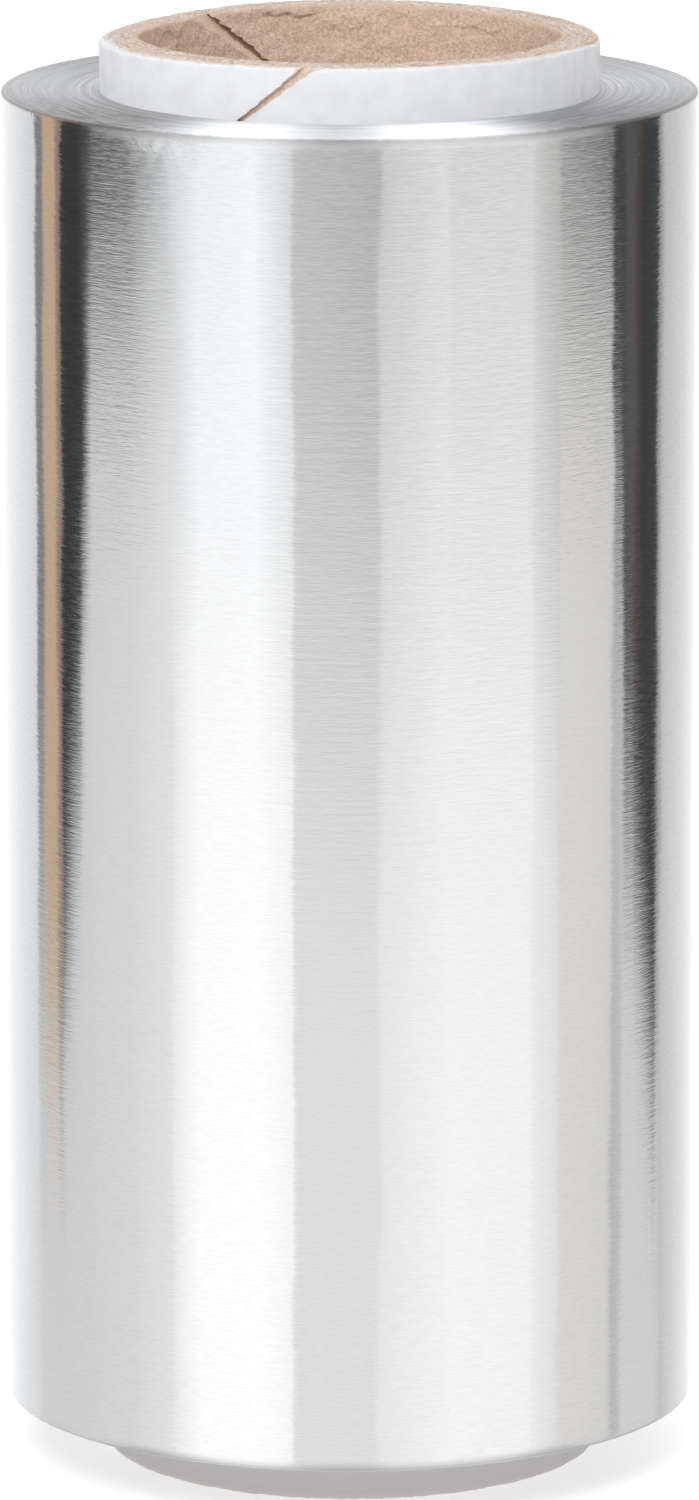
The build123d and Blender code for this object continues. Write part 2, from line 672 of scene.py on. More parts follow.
def set_out(name: str, data: bpy.types.ID) -> bpy.types.Object:
    """Makes an object of a mesh, light or camera and puts it into the scene."""
    made = bpy.data.objects.new(name, data)
    bpy.context.scene.collection.objects.link(made)
    return made


@dataclass
class Lattice:
    """A closed surface: a section loop carried round the axis.

    Arrays are steps round the axis by points of the loop. The loop runs anticlockwise in the plane
    of radius and height. A layer that doesn't close on itself is capped at its first and last step.
    """

    radius: Array
    angle: Array
    height: Array
    closed: bool
    finish: Array
    # Per vertex: how worn a liner's edge is; on the board, the distance that places its painted shade.
    wear_and_shade: Array
    end: Array
    cap_finish: int = 0
    sharp: float = math.radians(48.0)

    def corners(self) -> Array:
        """Every vertex: (radius cos angle, radius sin angle, height)."""
        x = self.radius * np.cos(self.angle)
        y = self.radius * np.sin(self.angle)
        return np.stack([x, y, self.height], axis=-1).reshape(-1, 3)

    def faces(self) -> tuple[Array, Array]:
        """The four-cornered faces, and the number of each one's finish."""
        steps, loop = self.radius.shape
        index = np.arange(steps * loop).reshape(steps, loop)
        ahead = np.roll(index, -1, axis=0)
        rows = slice(None) if self.closed else slice(0, steps - 1)
        up, ahead_up = np.roll(index, -1, axis=1), np.roll(ahead, -1, axis=1)
        quads = np.stack([index, ahead, ahead_up, up], axis=-1)[rows].reshape(-1, 4)
        finish = np.broadcast_to(self.finish, (steps, loop))[rows].reshape(-1)
        if self.closed:
            return quads, finish
        outside = np.arange(loop // 2 - 1)
        inside = loop - 1 - outside
        rungs = np.stack([outside, outside + 1, inside - 1, inside], axis=-1)
        caps = np.concatenate([index[0][rungs], index[-1][rungs[:, ::-1]]])
        return np.concatenate([quads, caps]), np.append(finish, np.full(len(caps), self.cap_finish))

    def build(self, name: str, materials: list[bpy.types.Material], slot: Slot) -> bpy.types.Object:
        """Makes the piece.

        Args:
            name: the piece's name.
            materials: its finishes, in the order of the finish numbers.
            slot: the record's slot for the piece; not used.

        Returns:
            The new object, riding on the root body.
        """
        quads, finish = self.faces()
        mesh = lay_mesh(name, self.corners(), quads)
        mesh.polygons.foreach_set("material_index", finish.astype(np.int32))
        mesh.polygons.foreach_set("use_smooth", np.ones(len(quads), dtype=bool))
        for layer, values in (("wear_and_shade", self.wear_and_shade), ("end", self.end)):
            carried = mesh.attributes.new(layer, "FLOAT", "POINT")
            carried.data.foreach_set("value", values.astype(np.float32).ravel())
        mesh.validate()
        mesh.set_sharp_from_angle(angle=self.sharp)
        for material in materials:
            mesh.materials.append(material)
        piece = set_out(name, mesh)
        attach(piece, "root")
        log.info("%s: %d faces", name, len(quads))
        return piece


# ---------------------------------------------------------------- the foil


@dataclass
class FoilWinding:
    """All the turns of the web: a bright wall and two ends of ringed edges."""

    inner_radius: float
    outer_radius: float
    bottom: float
    top: float
    rim: float = 0.30 * MM
    band: float = 4.5 * MM
    steps: int = 500
    end_steps: int = 40
    wall_steps: int = 96
    rim_steps: int = 5
    tail_angle: float = math.radians(112.0)
    tail_step: float = 0.05 * MM
    tail_width: float = 0.10 * MM
    tail_wander: float = 0.35 * MM
    wander_share: float = 0.012
    tail_lift: float = 0.03 * MM
    lift_share: float = 0.006
    wave_depth: float = 0.004 * MM
    crease_angle: float = math.radians(-122.0)
    crease_width: float = 0.16
    crease_depth: float = 0.012 * MM
    crease_reach: float = 3.0 * MM
    nick_depth: float = 0.016 * MM
    sunk_depth: float = 0.020 * MM
    sunk_rings: int = 22

    def section(self) -> tuple[Array, Array, Array]:
        """The section loop.

        The lower end runs outwards, a quarter circle turns up into the wall, another turns in to the
        upper end, and the loop closes down the tube's side.

        Returns:
            Radius, height, and 1 on an end or 0 elsewhere, at each point of the loop.
        """
        reach = self.outer_radius - self.rim
        out = np.linspace(self.inner_radius, reach, self.end_steps)
        turn = np.linspace(0.0, math.pi / 2, self.rim_steps + 2)[1:-1]
        wall = crowded(self.bottom + self.rim, self.top - self.rim, self.wall_steps, 0.8)
        low_r = reach + self.rim * np.sin(turn)
        low_z = self.bottom + self.rim * (1 - np.cos(turn))
        side = np.linspace(self.top, self.bottom, 5)[1:-1]
        radius = [
            out,
            low_r,
            np.full(len(wall), self.outer_radius),
            low_r[::-1],
            out[::-1],
            np.full(len(side), self.inner_radius),
        ]
        height = [
            np.full(len(out), self.bottom),
            low_z,
            wall,
            self.top + self.bottom - low_z[::-1],
            np.full(len(out), self.top),
            side,
        ]
        on_end = [np.ones(len(out)), 0 * low_r, 0 * wall, 0 * low_r, np.ones(len(out)), 0 * side]
        return np.concatenate(radius), np.concatenate(height), np.concatenate(on_end)

    def lattice(self) -> Lattice:
        """The whole surface, with its uneven wall, the web's free edge, and the stepped ends.

        The wall falls short of the full radius. The ends fall short by a ringed field of the radius,
        as some turns lie a little lower than others, and the rims by a field of small nicks.
        """
        radius, height, on_end = self.section()
        last = 1.0 - self.tail_width / (TURN * self.outer_radius)
        share = np.linspace(0.0, last, self.steps)[:, None]
        r = np.repeat(radius[None, :], self.steps, axis=0)
        z = np.repeat(height[None, :], self.steps, axis=0)
        near_edge = np.exp(-np.minimum(share, 1.0 - share) / self.wander_share)
        wander = WaveField(5, (0.6, 1.4), (6.0, 60.0), 12).at(0 * z, z) * self.tail_wander
        angle = self.tail_angle + TURN * share + near_edge * wander / self.outer_radius
        outside = smooth_step(r, self.outer_radius - 1.2 * self.rim, self.outer_radius)
        r = r - self.shortfall(share, angle, z) * outside * (1.0 - on_end)
        sunk = self.sunken_turns(angle, radius)
        upper = np.where(height > (self.top + self.bottom) / 2, 1.0, -1.0)
        z = z - upper * sunk * on_end
        nicks = WaveField(23, (60.0, 240.0), (20.0, 60.0), 60).at(angle, z)
        from_end = np.minimum(height - self.bottom, self.top - height)
        on_rim = (1.0 - on_end) * (from_end < 1.4 * self.rim) * (radius > self.inner_radius + self.rim)
        z = z - upper * self.nick_depth * (1.6 + np.clip(nicks, -1.6, 1.6)) * on_rim
        finish = np.where(from_end < self.band, 2, 0) * (1.0 - on_end) + on_end
        return Lattice(r, angle, z, True, finish.astype(int), 0.0 * r, 0.0 * r)

    def shortfall(self, share: Array, angle: Array, z: Array) -> Array:
        """How far the wall lies inside the full radius.

        It is the sum of the free edge's step, which shrinks to nothing over one turn, a faint
        waviness, the free edge's own unevenness, and short slanting creases under the upper rim,
        which fade by exp(-distance / crease_reach).

        Args:
            share: how far round from the free edge, from 0 to 1.
            angle: radians round the axis.
            z: the height.

        Returns:
            The shortfall in metres.
        """
        wavy = WaveField(11, (6.0, 60.0), (20.0, 160.0)).at(angle, z)
        short = self.tail_step * (1.0 - share) + self.wave_depth * (2.5 + np.clip(wavy, -2.5, 2.5))
        uneven = 1.0 + WaveField(6, (0.6, 1.4), (30.0, 200.0), 16).at(0 * z, z)
        short = short + self.tail_lift * np.clip(np.exp(-share / self.lift_share) * uneven, 0.0, 2.0)
        from_top = self.top - z
        under_rim = np.exp(-from_top / self.crease_reach) * smooth_step(from_top, 0.0, 2.0 * self.rim)
        slant = WaveField(17, (90.0, 190.0), (150.0, 420.0), 24).at(angle, z)
        creased = hump(angle_from(angle, self.crease_angle), 0.0, self.crease_width)
        return short + self.crease_depth * under_rim * (0.12 + creased) * (2.0 + np.clip(slant, -2, 2))

    def sunken_turns(self, angle: Array, radius: Array) -> Array:
        """How far each turn's edge lies below the end's highest turns.

        A sum of cosines of the radius whose phases drift slowly with the angle, cut off below zero.
        """
        rng = np.random.default_rng(31)
        count = self.sunk_rings
        rings = TURN / (rng.uniform(0.35, 2.6, count) * MM)
        drift = rng.integers(0, 3, count)
        phases = rng.uniform(0.0, TURN, count)
        total = np.zeros(np.broadcast(angle, radius).shape)
        for ring, turn, phase in zip(rings, drift, phases):
            total = total + np.cos(ring * radius + turn * angle + phase)
        return self.sunk_depth * np.clip(1.3 + total * math.sqrt(2.0 / count), 0.0, 2.6)

    def build(self) -> bpy.types.Object:
        """Makes the winding and hides the plain one."""
        wall = RolledFoil(self.bottom, self.top)
        band = RolledFoil(self.bottom, self.top, "scuffed_foil", scuffed=True)
        finishes = [wall.material(), WoundEdges().material(), band.material()]
        piece = self.lattice().build("foil_turns", finishes, Slot.FOIL)
        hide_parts(Node.FOIL.value)
        return piece


# ---------------------------------------------------------------- the tube


@dataclass(frozen=True)
class TubeWall:
    """The tube's wall: its radii, its ends, and how far its end corners are rounded."""

    bore_radius: float
    outer_radius: float
    bottom: float
    top: float
    bore_corner: float = 0.28 * MM
    outer_corner: float = 0.32 * MM
    end_reach: float = 7.0 * MM

    def end_drop(self, radius: Array) -> Array:
        """How far the rounded end lies inside the flat one.

        Each corner is a quarter circle: drop = c - sqrt(c^2 - d^2), with c the corner's radius and d
        how far the radius reaches into the corner.
        """
        outer, bore = self.outer_corner, self.bore_corner
        into_outer = np.clip(radius - (self.outer_radius - outer), 0.0, outer)
        into_bore = np.clip(self.bore_radius + bore - radius, 0.0, bore)
        drop = outer - np.sqrt(outer**2 - into_outer**2)
        return drop + bore - np.sqrt(bore**2 - into_bore**2)

    def layer(
        self, inner: float, outer: float, ends: int, rows: tuple[int, int, int]
    ) -> tuple[Array, Array, Array]:
        """The section loop of the layer between two radii.

        The loop's first half runs from the middle of the lower end out, up and back to the middle of
        the upper end. The second half mirrors it down the inside.

        Args:
            inner: the layer's inside radius.
            outer: its outside radius.
            ends: points from the middle to the edge of an end.
            rows: points up a wall, near its foot, between, and near its top.

        Returns:
            Radius, height, and 1 on an end or 0 elsewhere, at each point of the loop.
        """
        middle = (inner + outer) / 2
        share = (np.arange(ends) + 0.5) / ends
        sides = []
        for edge in (outer, inner):
            out = middle + (edge - middle) * share
            drop = self.end_drop(out)
            wall_drop = float(self.end_drop(np.array(edge)))
            wall = three_part(self.bottom + wall_drop, self.top - wall_drop, self.end_reach, rows)
            radius = np.concatenate([out, np.full(len(wall), edge), out[::-1]])
            height = np.concatenate([self.bottom + drop, wall, self.top - drop[::-1]])
            sides.append((radius, height))
        on_end = np.concatenate([np.ones(ends), np.zeros(sum(rows)), np.ones(ends)])
        radius = np.concatenate([sides[0][0], sides[1][0][::-1]])
        height = np.concatenate([sides[0][1], sides[1][1][::-1]])
        return radius, height, np.concatenate([on_end, on_end[::-1]])

    def from_end(self, height: Array) -> Array:
        """Distance from the nearer end of the tube."""
        return np.minimum(height - self.bottom, self.top - height)


@dataclass(frozen=True)
class Seam:
    """The helical opening between a liner's turns."""

    top_angle: float
    pitch: float
    width: float
    seed: int
    ragged: float = 0.16
    lean: float = 0.0
    loose_reach: float = 3.0 * MM

    def angle(self, height: Array, top: float) -> Array:
        """The opening's middle.

        It falls by one turn for each pitch below the top, and leans back by up to its own lean,
        lean (1 - exp(-(top - height) / loose_reach)), where the end has pulled the strip round.
        """
        below = top - height
        leaning = self.lean * (1 - np.exp(-below / self.loose_reach))
        return self.top_angle - TURN * below / self.pitch + leaning

    def half_gap(self, height: Array, wall: TubeWall, radius: float) -> Array:
        """Half the opening's angle.

        The opening is widest at the tube's ends, where the strip has worked loose, and is measured
        along a level circle: width / sin(helix angle) / radius.
        """
        slope = math.atan2(self.pitch, TURN * radius)
        loose = 0.50 + 0.50 * hump(wall.from_end(height), 0.0, self.loose_reach)
        return 0.5 * self.width * loose / math.sin(slope) / radius


@dataclass
class PaperTube:
    """The spiral tube: a board wall between a white liner outside and a brown one in the bore."""

    wall: TubeWall
    board_inner: float
    board_outer: float
    foil_top: float
    foil_bottom: float
    steps: int = 400
    worn_angle: float = math.radians(176.0)
    worn_spread: float = 0.75
    worn_width: float = 1.1 * MM
    worn_drop: float = 0.62 * MM
    worn_reach: float = 0.9 * MM
    bare_angle: float = math.radians(-6.0)
    bare_spread: float = 0.22
    bare_drop: float = 0.42 * MM
    bare_reach: float = 1.6 * MM
    kept_spread: float = 0.45
    left_sag: tuple[float, float, float] = (0.42 * MM, math.radians(154.0), 0.60)
    right_sag: tuple[float, float, float] = (0.34 * MM, math.radians(8.0), 0.72)
    sag_reach: float = 4.0 * MM
    rough_reach: float = 0.5 * MM
    edge_wear: float = 0.22 * MM
    end_wear: float = 0.30 * MM
    dent_depth: float = 0.010 * MM
    white_fray: float = 0.035 * MM
    kraft_fray: float = 0.04 * MM
    board_fray: float = 0.05 * MM
    loose_angle: float = math.radians(68.0)
    loose_reach: float = math.radians(46.0)
    flake_angle: float = math.radians(107.5)
    torn_angle: float = math.radians(150.0)
    outer_seam: Seam = Seam(math.radians(-99.3), 103.0 * MM, 0.66 * MM, 41, 0.14, math.radians(1.7))
    inner_seam: Seam = Seam(math.radians(135.0), 88.0 * MM, 1.45 * MM, 47, 0.22)

    def liner(self, inner: float, outer: float, seam: Seam, rows: tuple[int, int, int]) -> Lattice:
        """A strip that goes once round between the two sides of its helical opening.

        Args:
            inner: inside radius.
            outer: outside radius.
            seam: the opening.
            rows: points up a wall, near its foot, between, and near its top.

        Returns:
            The strip, with wear that rises to 1 at its edges.
        """
        radius, height, on_end = self.wall.layer(inner, outer, 3, rows)
        share = np.linspace(0.0, 1.0, self.steps)[:, None]
        z = np.repeat(height[None, :], self.steps, axis=0)
        r = np.repeat(radius[None, :], self.steps, axis=0)
        half = seam.half_gap(z, self.wall, (inner + outer) / 2)
        ragged = WaveField(seed=seam.seed, around=(0.6, 1.4), along=(250.0, 2400.0), waves=40)
        rough_first = 1.0 + seam.ragged * ragged.at(0 * z, z)
        rough_last = 1.0 + seam.ragged * ragged.at(0 * z, z + 0.05)
        first = seam.angle(z, self.wall.top) + half * rough_first
        last = seam.angle(z, self.wall.top) + TURN - half * rough_last
        angle = first + share * (last - first)
        from_seam = np.minimum(share * (last - first), (1.0 - share) * (last - first)) * outer
        wear_and_shade = np.exp(-from_seam / self.edge_wear)
        end = np.exp(-self.wall.from_end(z) / self.end_wear)
        return Lattice(r, angle, z, False, 0 * on_end.astype(int), wear_and_shade, end)

    def rough_end(self, lattice: Lattice, seed: int, depth: float) -> None:
        """Roughens the ends, lets them sag at two sides, and wears one side of their corner down.

        The height falls short by a seeded field that fades with the distance from the end, by two
        broad bells of the angle (depth, middle and width), kept to the back half, and, where the
        corner is worn, by the square of how far the radius reaches into the corner.

        Args:
            lattice: the layer, whose heights are changed.
            seed: the field's seed.
            depth: how rough the end is.
        """
        rough = WaveField(seed, (20.0, 200.0), (200.0, 900.0), 60).at(
            lattice.angle, lattice.radius * 3.0
        )
        from_end = self.wall.from_end(lattice.height)
        near = np.exp(-from_end / self.rough_reach)
        middle = (self.wall.top + self.wall.bottom) / 2
        side = np.where(lattice.height > middle, 1.0, -1.0)
        short = depth * near * (1.0 + np.clip(rough, -1.0, 2.0))
        into = np.clip((lattice.radius - self.wall.outer_radius) / self.worn_width + 1.0, 0.0, 1.0)
        worn = hump(angle_from(lattice.angle, self.worn_angle), 0.0, self.worn_spread) * into**2
        short = short + self.worn_drop * worn * np.exp(-from_end / self.worn_reach)
        bells = [
            drop * hump(angle_from(lattice.angle, at), 0.0, width)
            for drop, at, width in (self.left_sag, self.right_sag)
        ]
        back = smooth_step(np.sin(lattice.angle), -0.25, 0.25)
        short = short + sum(bells) * back * np.exp(-from_end / self.sag_reach)
        lattice.height = lattice.height - side * short

    def build_white_liner(self) -> bpy.types.Object:
        """Makes the white outside liner.

        Near the bare angle its upper edge is torn lower, by exp(-distance / bare_reach), and where
        it stands out of the winding it is faintly dented. It stays white where the corner is worn.
        """
        strip = self.liner(self.board_outer, self.wall.outer_radius, self.outer_seam, (36, 24, 36))
        self.rough_end(strip, 51, self.white_fray)
        low = hump(angle_from(strip.angle, self.bare_angle), 0.0, self.bare_spread)
        low = low * (strip.height > (self.wall.top + self.wall.bottom) / 2)
        fade = np.exp(-self.wall.from_end(strip.height) / self.bare_reach)
        strip.height = strip.height - self.bare_drop * low * fade
        uneven = WaveField(53, (4.0, 90.0), (40.0, 500.0)).at(strip.angle, strip.height)
        outside = strip.radius > (self.board_outer + self.wall.outer_radius) / 2
        beyond = (strip.height > self.foil_top) | (strip.height < self.foil_bottom)
        dent = self.dent_depth * (2.0 + np.clip(uneven, -2.0, 2.0))
        strip.radius = strip.radius - dent * outside * beyond
        kept = hump(angle_from(strip.angle, self.worn_angle), 0.0, self.kept_spread)
        strip.end = strip.end * (1.0 - 0.85 * kept)
        piece = strip.build("white_liner", [WhiteLiner().material()], Slot.WHITE)
        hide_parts(Node.WHITE.value)
        return piece

    def build_kraft_liner(self) -> bpy.types.Object:
        """Makes the bore's brown liner, with a loose wrinkled band and a torn flake at its top.

        The radius changes by a sum: an uneven seeded field, the band's ledge, whose edge wavers with
        the angle, the flake above its own ragged tear, and a hollow where the paper is torn away.
        """
        strip = self.liner(self.wall.bore_radius, self.board_inner, self.inner_seam, (22, 24, 56))
        self.rough_end(strip, 61, self.kraft_fray)
        inside = strip.radius < (self.wall.bore_radius + self.board_inner) / 2
        below = self.wall.top - strip.height
        angle = strip.angle
        flat = 0.0 * below
        wobble = WaveField(67, (3.0, 40.0), (1.0, 3.0), 20).at(angle, flat)
        ledge = (1.75 + 0.30 * wobble) * MM
        patchy = smooth_step(WaveField(69, (4.0, 20.0), (1.0, 3.0), 12).at(angle, flat), -0.9, 0.6)
        band = smooth_step(self.loose_reach - np.abs(angle_from(angle, self.loose_angle)), 0.0, 0.2)
        fade = np.exp(-np.clip(ledge - below, 0.0, None) / (0.9 * MM))
        loose = band * patchy * fade * smooth_step(ledge - below, -0.10 * MM, 0.10 * MM)
        tear = (0.85 + 0.16 * WaveField(71, (20.0, 90.0), (1.0, 3.0), 16).at(angle, flat)) * MM
        flake = hump(angle_from(angle, self.flake_angle), 0.0, 0.13) > 0.4
        flake = flake * smooth_step(tear - below, -0.06 * MM, 0.06 * MM)
        torn = hump(angle_from(angle, self.torn_angle), 0.0, 0.055) * hump(below, 2.0 * MM, 0.8 * MM)
        uneven = WaveField(73, (5.0, 120.0), (40.0, 700.0)).at(angle, strip.height)
        lump = (0.035 * uneven + 0.09 * loose + 0.22 * flake - 0.12 * smooth_step(torn, 0.3, 0.5)) * MM
        strip.radius = strip.radius - lump * inside
        strip.wear_and_shade = np.maximum(strip.wear_and_shade, smooth_step(torn, 0.25, 0.5))
        # Painted shade: the strip's edges at the opening take a dark brown, for the shadow along the
        # opening's side.
        strip.cap_finish = 1
        shaded = KraftPaper("shaded_edge", (0.31, 0.20, 0.145), (0.40, 0.265, 0.195), (0.21, 0.135, 0.10))
        finishes = [KraftPaper("kraft_liner").material(), shaded.material()]
        piece = strip.build("kraft_liner", finishes, Slot.KRAFT)
        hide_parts(Node.KRAFT.value)
        return piece

    def build_board(self) -> bpy.types.Object:
        """Makes the board wall, its ends rough and ringed by its plies.

        The value it carries for edges is the distance round the bore from the inner seam's edge, counted in
        widths of the painted shadow that the board gets there; it marks no wearing.
        """
        radius, height, on_end = self.wall.layer(self.board_inner, self.board_outer, 12, (12, 10, 12))
        share = np.linspace(0.0, 1.0, self.steps, endpoint=False)[:, None]
        angle = np.repeat(TURN * share, len(radius), axis=1)
        r = np.repeat(radius[None, :], self.steps, axis=0)
        z = np.repeat(height[None, :], self.steps, axis=0)
        half = self.inner_seam.half_gap(z, self.wall, self.board_inner)
        edge = self.inner_seam.angle(z, self.wall.top) - half
        below = self.wall.top - z
        # How wide the painted shade beside the inner seam's edge is; it widens farther below the top.
        dark_width = (0.22 + 0.30 * smooth_step(below, 0.8 * MM, 2.6 * MM)) * MM
        under = angle_from(angle, edge) * self.board_inner / dark_width
        ring = Lattice(r, angle, z, True, on_end.astype(int), under, 0.0 * r)
        self.rough_end(ring, 81, self.board_fray)
        seam_board = KraftPaper("seam_board", dark=(0.62, 0.47, 0.37), back=(0.86, 0.70, 0.57))
        finishes = [seam_board.material(), BoardEnd().material()]
        piece = ring.build("board_wall", finishes, Slot.BOARD)
        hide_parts(Node.BOARD.value)
        return piece


# ---------------------------------------------------------------- studio


def grey(first: float, last: float, warm: float = 0.0) -> tuple[Colour, Colour]:
    """Two near-neutral glows: warm is the share of red added and of blue taken away."""
    tone = (1.0 + warm, 1.0, 1.0 - warm)
    return tuple(first * c for c in tone), tuple(last * c for c in tone)


def gloss_only(piece: bpy.types.Object) -> None:
    """Hides a stage piece from everything but gloss."""
    piece.visible_camera = False
    piece.visible_diffuse = False
    piece.visible_shadow = False
    piece.visible_transmission = False


@dataclass(frozen=True)
class Panel:
    """An upright panel, bent round the roll, that only gloss sees: a softbox if bright, a flag if dark.

    Every pair holds its value at the panel's start and at its end, and changes evenly between them.
    Above its foot the panel has its own glow. Below, the pale floor's light washes it out. A panel
    that reaches below the floor has a skirt, which runs in under the roll and fades to the floor's tone.
    """

    name: str
    start: float
    end: float
    glow: tuple[Colour, Colour]
    wash: tuple[Colour, Colour]
    foot: tuple[float, float] = (0.042, 0.042)
    soft: float = 0.055
    bottom: float = -0.30
    top: float = 0.60
    radius: float = 0.30
    floor_tone: float = 0.80
    rows: int = 91
    skirt_rows: int = 12

    def build(self) -> bpy.types.Object:
        """Makes the panel.

        Its corners stand on a circle, at (radius sin a, -radius cos a, z), with a the angle to the
        right of the front. glow = wash + (glow - wash) eased from foot - soft to foot + soft in z.
        On the skirt the radius r falls to a tenth, and glow = tone + (wash - tone) r / radius.
        """
        columns = 2 + int(abs(self.end - self.start) / 2.5)
        skirt = self.skirt_rows * (self.bottom < 0.0)
        rows = self.rows + skirt
        share = np.repeat(np.linspace(0.0, 1.0, columns)[:, None], rows, axis=1)
        height = np.append(np.full(skirt, self.bottom), np.linspace(self.bottom, self.top, self.rows))
        reach = np.append(np.linspace(0.1, 1.0, skirt, endpoint=False), np.ones(self.rows))
        z = np.repeat(height[None, :], columns, axis=0)
        angle = np.radians(self.start + share * (self.end - self.start))
        out = self.radius * reach
        corners = np.stack([out * np.sin(angle), -out * np.cos(angle), z], axis=-1)
        index = np.arange(columns * rows).reshape(columns, rows)
        quads = np.stack([index[:-1, :-1], index[1:, :-1], index[1:, 1:], index[:-1, 1:]], axis=-1)
        mesh = lay_mesh(self.name, corners.reshape(-1, 3), quads.reshape(-1, 4))
        foot = self.foot[0] + share * (self.foot[1] - self.foot[0])
        above = smooth_step(z, foot - self.soft, foot + self.soft)[..., None]
        glow, wash = np.array(self.glow), np.array(self.wash)
        glow = glow[0] + share[..., None] * (glow[1] - glow[0])
        wash = wash[0] + share[..., None] * (wash[1] - wash[0])
        wash = self.floor_tone + (wash - self.floor_tone) * reach[:, None]
        shown = np.concatenate([wash + above * (glow - wash), np.ones_like(above)], axis=-1)
        layer = mesh.attributes.new("glow", "FLOAT_COLOR", "POINT")
        layer.data.foreach_set("color", shown.astype(np.float32).ravel())
        bench = Bench(self.name)
        colour = bench.node("ShaderNodeAttribute", {"attribute_name": "glow"}, {}).outputs["Color"]
        mesh.materials.append(bench.glow(Wire(bench, colour), 1.0))
        panel = set_out(self.name, mesh)
        gloss_only(panel)
        return panel


@dataclass
class Studio:
    """A pale table in a white room, with softboxes and flags standing round it."""

    eye: tuple[float, float, float] = (0.0, -0.98764, 0.26763)
    look_down: float = math.radians(11.632)
    lens: float = 266.35
    side_foot: float = 0.064
    side_soft: float = 0.014
    overhead_sides: tuple[float, float] = (0.68, 0.30)
    overhead_edges: tuple[float, float, float] = (-0.42, 0.42, 1.02)
    overhead_gap: tuple[float, float] = (-0.13, 0.065)
    overhead_height: float = 0.75
    overhead_glows: tuple[float, float] = (3.1, 5.4)
    overhead_gap_glow: float = 0.40
    room_glow: float = 0.70
    floor_size: float = 8.0
    floor_tone: Colour = (0.48, 0.48, 0.48)
    floor_glow: float = 0.60

    def panels(self) -> list[Panel]:
        """The softboxes in front, the open stretches between them, and the flags and posts beside."""
        side = {"foot": (self.side_foot, self.side_foot), "soft": self.side_soft}
        tan, brown, pale = (0.555, 0.395, 0.277), (0.29, 0.225, 0.18), grey(0.68, 0.68)
        dark, cool, warm = (0.085, 0.062, 0.052), -0.014, 0.016
        low = {"foot": (-0.027, -0.027), "soft": 0.012}
        high = {"bottom": 0.13, "radius": 0.29}
        return [
            Panel("left_rear", -172.0, -122.2, grey(1.13, 0.68, cool), grey(1.15, 0.72, cool)),
            Panel("left_post_side", -122.2, -117.2, grey(0.20, 0.24), pale, (-0.012, -0.012), 0.035),
            Panel("left_post", -117.2, -109.0, (tan, tan), pale, **low),
            Panel("left_post_back", -109.0, -106.2, (brown, brown), pale, **low),
            Panel("left_flag", -106.2, -96.0, grey(0.042, 0.042), pale, (-0.018, 0.014), 0.016),
            Panel("left_flag_edge", -96.0, -90.5, grey(0.045, 0.10), pale, (0.020, 0.060), 0.020),
            Panel("left_shade", -90.5, -74.0, grey(0.075, 0.17, cool), grey(0.69, 0.73), **side),
            Panel("left_fade", -74.0, -58.0, grey(0.17, 0.64, cool), grey(0.73, 0.82), **side),
            Panel("left_softbox_start", -58.0, -49.0, grey(0.68, 0.90, cool), grey(0.90, 1.06)),
            Panel("left_softbox", -49.0, -29.0, grey(0.91, 0.98, cool), grey(1.07, 1.09)),
            Panel("left_softbox_end", -29.0, -17.6, grey(0.95, 0.70, cool), grey(1.09, 1.02)),
            Panel("centre_gap", -17.6, 9.3, grey(0.53, 0.44), grey(0.80, 0.80)),
            Panel("right_softbox_start", 9.3, 31.0, grey(0.60, 0.75), grey(0.87, 0.98)),
            Panel("right_softbox", 31.0, 60.0, grey(0.69, 0.69), grey(0.99, 0.97)),
            Panel("right_softbox_end", 60.0, 70.0, grey(0.62, 0.46, warm), grey(0.90, 0.82), soft=0.05),
            Panel("right_shade", 70.0, 93.1, grey(0.33, 0.12, warm), grey(0.73, 0.68, warm), **side),
            Panel("right_flag_start", 93.1, 98.6, grey(0.058, 0.062), grey(0.50, 0.56), (0.043, 0.037),
                  soft=0.014),
            Panel("right_post", 98.6, 104.6, grey(0.090, 0.095), pale, (0.003, 0.0), 0.014),
            Panel("right_post_back", 104.6, 107.4, (dark, dark), pale, (-0.005, -0.008), 0.012),
            Panel("right_flag", 107.4, 118.5, grey(0.050, 0.054), pale, (-0.009, -0.034), 0.012),
            Panel("right_flag_end", 118.5, 121.5, grey(0.34, 0.38), pale, **low),
            Panel("right_rear", 121.5, 142.0, grey(0.50, 0.70), grey(0.56, 0.78)),
            Panel("right_rear_end", 142.0, 172.0, grey(0.70, 1.15), grey(0.78, 1.15)),
            Panel("rear_gap", 172.0, 188.0, grey(0.80, 0.80), grey(0.85, 0.85)),
            Panel("top_light_right", 165.0, 180.0, grey(0.8, 0.9), grey(0.72, 0.76), (0.22, 0.22), 0.04,
                  top=0.7, **high),
            Panel("top_light_left", 180.0, 195.0, grey(0.9, 1.25), grey(0.74, 0.76), (0.22, 0.20), 0.04,
                  top=0.7, **high),
            Panel("top_flag_left", 125.0, 165.0, grey(0.22, 0.22), grey(0.60, 0.62), (0.19, 0.19), 0.03,
                  top=0.5, **high),
            Panel("top_flag_right", 195.0, 235.0, grey(0.22, 0.22), grey(0.62, 0.60), (0.19, 0.19), 0.03,
                  top=0.5, **high),
        ]

    def build_room(self) -> None:
        """Makes the even white light of the room."""
        world = bpy.data.worlds.new("white_room")
        world.use_nodes = True
        background = world.node_tree.nodes["Background"]
        background.inputs["Color"].default_value = WHITE
        background.inputs["Strength"].default_value = self.room_glow
        bpy.context.scene.world = world

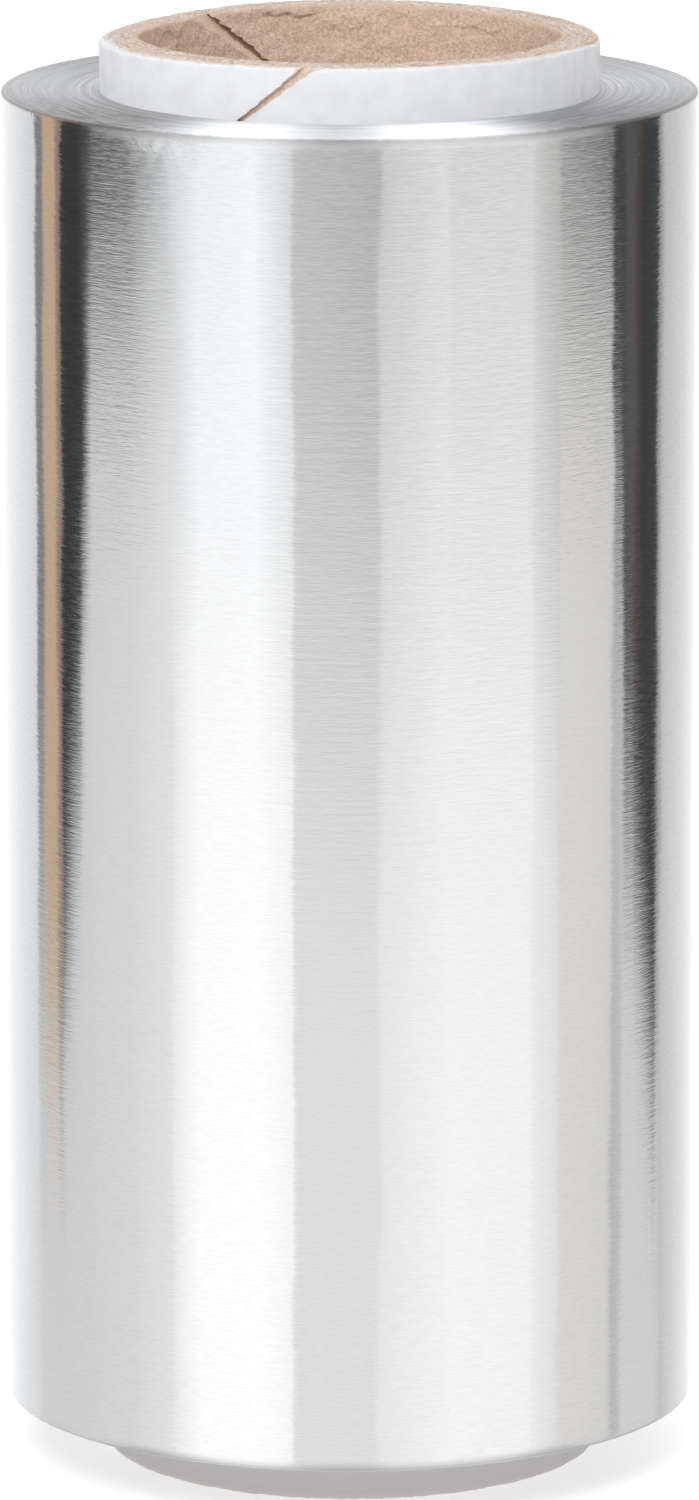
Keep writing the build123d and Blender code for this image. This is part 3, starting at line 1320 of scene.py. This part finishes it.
    def build_floor(self) -> None:
        """Makes the plain pale floor."""
        size = self.floor_size
        mesh = bpy.data.meshes.new("floor")
        corners = [(-size, -size, 0.0), (size, -size, 0.0), (size, size, 0.0), (-size, size, 0.0)]
        mesh.from_pydata(corners, [], [(0, 1, 2, 3)])
        bench = Bench("pale_floor")
        bench.feed(
            Base_Color=(*self.floor_tone, 1.0),
            Roughness=0.5,
            Specular_IOR_Level=0.3,
            Emission_Color=WHITE,
            Emission_Strength=self.floor_glow,
        )
        mesh.materials.append(bench.material)
        floor = set_out("floor", mesh)
        floor.visible_glossy = False

    def build_overhead(self) -> None:
        """Makes the softboxes over the roll, which whiten the front of the winding's upper end.

        They hang in a wide front row and a narrow back row, each with a dim gap near its middle.
        """
        rows = zip(("front", "back"), self.overhead_sides, self.overhead_glows)
        for index, (row, side, side_glow) in enumerate(rows):
            near, far = self.overhead_edges[index:index + 2]
            edges = (-side, *self.overhead_gap, side)
            glows = (side_glow, self.overhead_gap_glow, side_glow)
            for part, left, right, glow in zip(("left", "gap", "right"), edges, edges[1:], glows):
                name, z = f"overhead_{row}_{part}", self.overhead_height
                corners = np.array([(left, near, z), (left, far, z), (right, far, z), (right, near, z)])
                mesh = lay_mesh(name, corners, np.array([[0, 1, 2, 3]]))
                mesh.materials.append(Bench(name).glow(WHITE, glow))
                gloss_only(set_out(name, mesh))

    def build_light(self, name: str, place: Vector, size: float, power: float) -> None:
        """Makes a soft round light, aimed at the roll, that gloss doesn't see.

        Args:
            name: the light's name.
            place: where it hangs.
            size: how wide it is, in metres.
            power: how strong it is, in watts.
        """
        data = bpy.data.lights.new(name, "AREA")
        data.shape = "DISK"
        data.size = size
        data.energy = power
        light = set_out(name, data)
        light.location = place
        light.rotation_mode = "QUATERNION"
        light.rotation_quaternion = (Vector((0.0, 0.0, 0.09)) - place).to_track_quat("-Z", "Y")
        light.visible_camera = False
        light.visible_glossy = False

    def build_camera(self) -> None:
        """Makes the camera: level with the front, looking down on the roll's top."""
        data = bpy.data.cameras.new("camera")
        data.sensor_width = 36.0
        data.lens = self.lens
        data.clip_start, data.clip_end = 0.05, 50.0
        camera = set_out("camera", data)
        camera.location = self.eye
        camera.rotation_euler = (math.pi / 2 - self.look_down, 0.0, 0.0)
        bpy.context.scene.camera = camera

    def build(self) -> None:
        """Makes the camera, the room, the floor, the lights and the panels."""
        bpy.context.scene.view_settings.view_transform = "Standard"
        self.build_camera()
        self.build_room()
        self.build_floor()
        self.build_overhead()
        self.build_light("key", Vector((-0.30, -0.90, 1.05)), 0.8, 11.0)
        self.build_light("fill", Vector((0.70, 0.80, 0.95)), 0.9, 4.0)
        panels = self.panels()
        for panel in panels:
            panel.build()
        log.info("studio: %d panels", len(panels))


# ---------------------------------------------------------------- main


def radius_of(node: Node) -> float:
    """A round node's outside radius, from the narrower side of its box."""
    low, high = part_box(node.value)
    return min(high[0] - low[0], high[1] - low[1]) / 2


def main() -> None:
    """Builds the studio and the pieces."""
    logging.basicConfig(level=logging.INFO, format="%(name)s %(message)s")
    mounts = {mount["name"]: mount for mount in frame["record"]["mounts"]}
    foil_low, foil_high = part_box(Node.FOIL.value)
    board_low, board_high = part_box(Node.BOARD.value)
    wall = TubeWall(
        bore_radius=mounts["bore"]["dims"]["r_mm"] * MM,
        outer_radius=radius_of(Node.WHITE),
        bottom=board_low[2],
        top=board_high[2],
    )
    Studio().build()
    FoilWinding(wall.outer_radius, radius_of(Node.FOIL), foil_low[2], foil_high[2]).build()
    tube = PaperTube(wall, radius_of(Node.KRAFT), radius_of(Node.BOARD), foil_high[2], foil_low[2])
    tube.build_white_liner()
    tube.build_board()
    tube.build_kraft_liner()


if __name__ == "__main__":
    main()
